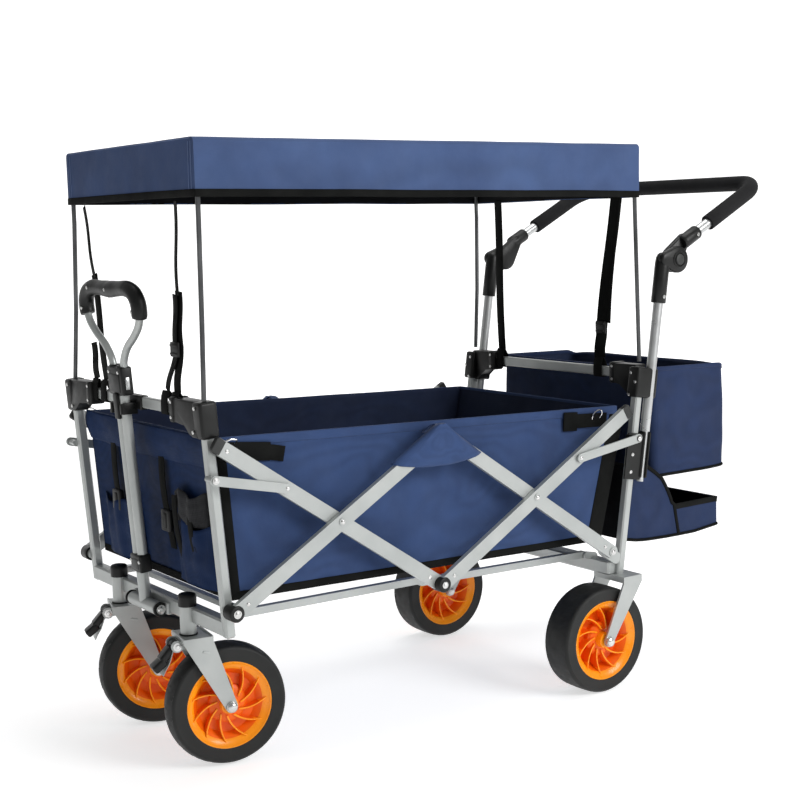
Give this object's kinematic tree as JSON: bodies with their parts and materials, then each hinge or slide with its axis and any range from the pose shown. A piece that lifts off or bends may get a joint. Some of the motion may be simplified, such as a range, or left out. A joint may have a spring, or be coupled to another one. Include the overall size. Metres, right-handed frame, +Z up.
{
  "type": "folding pull wagon",
  "caption": "Folding wagon with a fabric tub, canopy, scissor frame, swivel casters, telescopic pull handle, tilting push handle, rear basket and tray.",
  "frame": {"origin": "on the floor under the middle of the wagon", "axes": "+X towards the push handle, +Y towards the wagon's right side, +Z up"},
  "size_m": [1.2692, 0.5764, 0.9923],
  "materials": {
    "powder_coat": "light grey powder coat, satin",
    "alloy": "satin anodised",
    "black_plastic": "moulded, fine texture",
    "foam": "closed-cell foam grip, matt",
    "tyre": "solid foam-filled tyre, matt",
    "orange_rim": "gloss moulded plastic",
    "navy_fabric": "coated woven polyester",
    "floor_board": "fabric-covered board",
    "rod": "dark grey rod"
  },
  "bodies": {
    "front_end": {"front_frame": "powder_coat", "front_corner_block_left": "black_plastic", "front_corner_block_right": "black_plastic", "front_upper_bar": "powder_coat", "front_canopy_hoop": "rod", "tub": "navy_fabric", "floor_board": "floor_board", "canopy": "navy_fabric"},
    "scissor_rising": {"scissor_front_rising_left": "powder_coat", "scissor_front_rising_right": "powder_coat"},
    "scissor_falling": {"scissor_front_falling_left": "powder_coat", "scissor_front_falling_right": "powder_coat"},
    "scissor_falling_rear": {"scissor_rear_falling_left": "powder_coat", "scissor_rear_falling_right": "powder_coat"},
    "scissor_rising_rear": {"scissor_rear_rising_left": "powder_coat", "scissor_rear_rising_right": "powder_coat"},
    "rear_end": {"rear_frame": "powder_coat", "rear_corner_block_left": "black_plastic", "rear_corner_block_right": "black_plastic", "rear_upper_bar": "powder_coat", "rear_canopy_hoop": "rod", "push_bracket_left": "black_plastic", "push_bracket_right": "black_plastic", "push_tube_left": "alloy", "push_tube_right": "alloy", "push_joint_lower_left": "black_plastic", "push_joint_lower_right": "black_plastic", "rear_basket": "navy_fabric", "tail_tray": "navy_fabric"},
    "front_stays": {"front_stay_left": "powder_coat", "front_stay_right": "powder_coat"},
    "rear_stays": {"rear_stay_left": "powder_coat", "rear_stay_right": "powder_coat"},
    "front_rail": {"front_floor_rail": "powder_coat"},
    "rear_rail": {"rear_floor_rail": "powder_coat"},
    "pull_handle": {"pull_yoke": "powder_coat", "pull_lower_coupler": "black_plastic", "pull_outer_tube": "powder_coat"},
    "pull_loop_slide": {"pull_upper_coupler": "black_plastic", "pull_loop": "alloy", "pull_grip": "black_plastic"},
    "push_handle": {"push_joint_upper_left": "black_plastic", "push_joint_upper_right": "black_plastic", "push_bar": "alloy", "push_foam_grip": "foam"},
    "caster_left": {"caster_fork_left": "powder_coat"},
    "brake_left": {"brake_pedal_left": "black_plastic"},
    "front_wheel_left": {"front_tyre_left": "tyre", "front_rim_left": "orange_rim"},
    "rear_wheel_left": {"rear_tyre_left": "tyre", "rear_rim_left": "orange_rim"},
    "push_button_left": {"push_button_left": "black_plastic"},
    "caster_right": {"caster_fork_right": "powder_coat"},
    "brake_right": {"brake_pedal_right": "black_plastic"},
    "front_wheel_right": {"front_tyre_right": "tyre", "front_rim_right": "orange_rim"},
    "rear_wheel_right": {"rear_tyre_right": "tyre", "rear_rim_right": "orange_rim"},
    "push_button_right": {"push_button_right": "black_plastic"}
  },
  "joints": [
    {"name": "fold", "type": "hinge", "parent": "front_end", "child": "scissor_rising", "pos_m": [-0.5594, 0, 0.282], "axis": [0, -1, 0], "range_deg": [0, 56], "deforming": ["tub", "floor_board", "canopy"]},
    {"name": "front_crossing", "type": "hinge", "parent": "scissor_rising", "child": "scissor_falling", "pos_m": [-0.367, 0, 0.3967], "axis": [0, -1, 0], "range_deg": [-101, 0]},
    {"name": "top_hub", "type": "hinge", "parent": "scissor_rising", "child": "scissor_falling_rear", "pos_m": [-0.1637, 0, 0.5179], "axis": [0, -1, 0], "range_deg": [-101, 0]},
    {"name": "rear_crossing", "type": "hinge", "parent": "scissor_falling_rear", "child": "scissor_rising_rear", "pos_m": [0.03205, 0, 0.38486], "axis": [0, -1, 0], "range_deg": [0, 101]},
    {"name": "rear_hub", "type": "hinge", "parent": "scissor_falling_rear", "child": "rear_end", "pos_m": [0.2173, 0, 0.25895], "axis": [0, -1, 0], "range_deg": [0, 57]},
    {"name": "front_stay_pivot", "type": "hinge", "parent": "front_end", "child": "front_stays", "pos_m": [-0.5838, 0, 0.487], "axis": [0, -1, 0], "range_deg": [0, 96]},
    {"name": "rear_stay_pivot", "type": "hinge", "parent": "rear_end", "child": "rear_stays", "pos_m": [0.2692, 0, 0.4635], "axis": [0, -1, 0], "range_deg": [-90, 0]},
    {"name": "front_rail_hinge", "type": "hinge", "parent": "front_end", "child": "front_rail", "pos_m": [-0.536, 0, 0.2585], "axis": [0, -1, 0], "range_deg": [0, 85]},
    {"name": "rear_rail_hinge", "type": "hinge", "parent": "rear_end", "child": "rear_rail", "pos_m": [0.2215, 0, 0.24], "axis": [0, -1, 0], "range_deg": [-85, 0]},
    {"name": "pull_swing", "type": "hinge", "parent": "front_end", "child": "pull_handle", "pos_m": [-0.5776, 0, 0.246], "axis": [0, -1, 0], "range_deg": [0, 100]},
    {"name": "pull_extend", "type": "slide", "parent": "pull_handle", "child": "pull_loop_slide", "axis": [-0.0721, 0, 0.9974], "range_m": [0, 0.18]},
    {"name": "push_tilt", "type": "hinge", "parent": "rear_end", "child": "push_handle", "pos_m": [0.3955, 0, 0.7812], "axis": [0, -1, 0], "range_deg": [-40, 50]},
    {"name": "caster_swivel_left", "type": "hinge", "parent": "front_end", "child": "caster_left", "pos_m": [-0.566, -0.1293, 0.2], "axis": [0, 0, 1], "continuous": true},
    {"name": "brake_left", "type": "hinge", "parent": "caster_left", "child": "brake_left", "pos_m": [-0.58967, -0.12535, 0.206], "axis": [-0.1644, -0.9864, 0], "range_deg": [0, 20]},
    {"name": "front_wheel_spin_left", "type": "hinge", "parent": "caster_left", "child": "front_wheel_left", "pos_m": [-0.51027, -0.13859, 0.1], "axis": [0.1644, 0.9864, 0], "continuous": true},
    {"name": "rear_wheel_spin_left", "type": "hinge", "parent": "rear_end", "child": "rear_wheel_left", "pos_m": [0.1998, -0.2399, 0.0975], "axis": [0, 1, 0], "continuous": true},
    {"name": "push_button_left", "type": "slide", "parent": "rear_end", "child": "push_button_left", "axis": [0, 1, 0], "range_m": [0, 0.0025], "stiffness_N_per_m": 400},
    {"name": "caster_swivel_right", "type": "hinge", "parent": "front_end", "child": "caster_right", "pos_m": [-0.566, 0.1293, 0.2], "axis": [0, 0, 1], "continuous": true},
    {"name": "brake_right", "type": "hinge", "parent": "caster_right", "child": "brake_right", "pos_m": [-0.58908, 0.13589, 0.206], "axis": [-0.2746, -0.9615, 0], "range_deg": [0, 20]},
    {"name": "front_wheel_spin_right", "type": "hinge", "parent": "caster_right", "child": "front_wheel_right", "pos_m": [-0.51167, 0.11378, 0.1], "axis": [0.2746, 0.9615, 0], "continuous": true},
    {"name": "rear_wheel_spin_right", "type": "hinge", "parent": "rear_end", "child": "rear_wheel_right", "pos_m": [0.1998, 0.2399, 0.0975], "axis": [0, 1, 0], "continuous": true},
    {"name": "push_button_right", "type": "slide", "parent": "rear_end", "child": "push_button_right", "axis": [0, -1, 0], "range_m": [0, 0.0025], "stiffness_N_per_m": 400}
  ],
  "couplings": [
    {"joint": "front_crossing", "follows": "fold", "ratio": -1.8},
    {"joint": "top_hub", "follows": "fold", "ratio": -1.8},
    {"joint": "rear_crossing", "follows": "fold", "ratio": 1.8},
    {"joint": "rear_hub", "follows": "fold", "ratio": 1},
    {"joint": "front_stay_pivot", "follows": "fold", "ratio": 1.7},
    {"joint": "rear_stay_pivot", "follows": "fold", "ratio": -1.57},
    {"joint": "front_rail_hinge", "follows": "fold", "ratio": 1.5},
    {"joint": "rear_rail_hinge", "follows": "fold", "ratio": -1.5}
  ]
}
